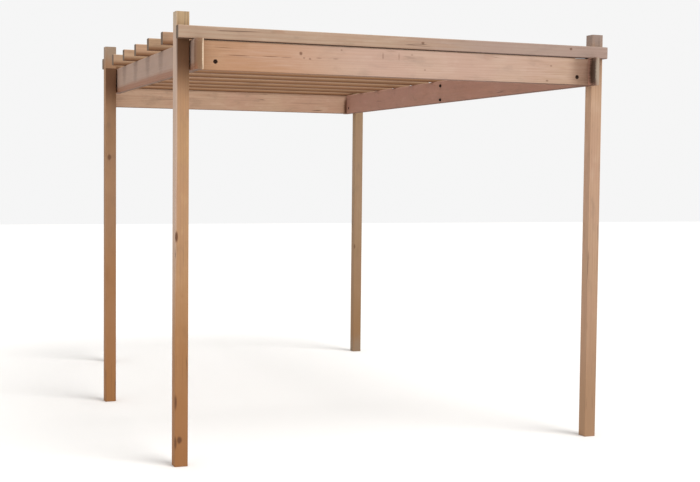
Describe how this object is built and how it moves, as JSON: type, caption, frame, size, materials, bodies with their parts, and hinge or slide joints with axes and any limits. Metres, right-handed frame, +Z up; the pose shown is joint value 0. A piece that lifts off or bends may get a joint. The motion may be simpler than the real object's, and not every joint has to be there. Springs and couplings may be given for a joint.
{
  "type": "garden pergola",
  "caption": "Open timber garden pergola: square posts carry side beams and deep end boards, with battens laid across the top.",
  "frame": {"origin": "on the ground, at the centre of the plan", "axes": "+Z up; -Y is the front, the side with the full-width board between two posts; +X is the viewer's right when looking at the front"},
  "size_m": [2.58, 4.12, 2.4],
  "materials": {
    "post_wood": "weathered planed pine",
    "beam_wood": "weathered planed pine",
    "board_wood": "planed pine",
    "batten_wood": "planed pine",
    "cleat_wood": "sawn pine",
    "screw_steel": "dull galvanised"
  },
  "bodies": {
    "root": {"post_front_left": "post_wood", "post_front_right": "post_wood", "post_middle_left": "post_wood", "post_rear_left": "post_wood", "post_rear_right": "post_wood", "side_beam_left": "beam_wood", "side_beam_right": "beam_wood", "side_rail_left": "beam_wood", "front_board": "board_wood", "rear_board": "board_wood", "batten_01": "batten_wood", "batten_02": "batten_wood", "batten_03": "batten_wood", "batten_04": "batten_wood", "batten_05": "batten_wood", "batten_06": "batten_wood", "batten_07": "batten_wood", "batten_08": "batten_wood", "batten_09": "batten_wood", "batten_10": "batten_wood", "batten_11": "batten_wood", "batten_12": "batten_wood", "cleat_front_left": "cleat_wood", "cleat_front_right": "cleat_wood", "screw_front_left": "screw_steel", "screw_front_right": "screw_steel", "screw_middle_left": "screw_steel", "screw_rear_right": "screw_steel", "screw_rear_board": "screw_steel", "screws_rear_left": "screw_steel", "bolts_front_board": "screw_steel", "bolts_right_beam": "screw_steel"}
  },
  "joints": []
}
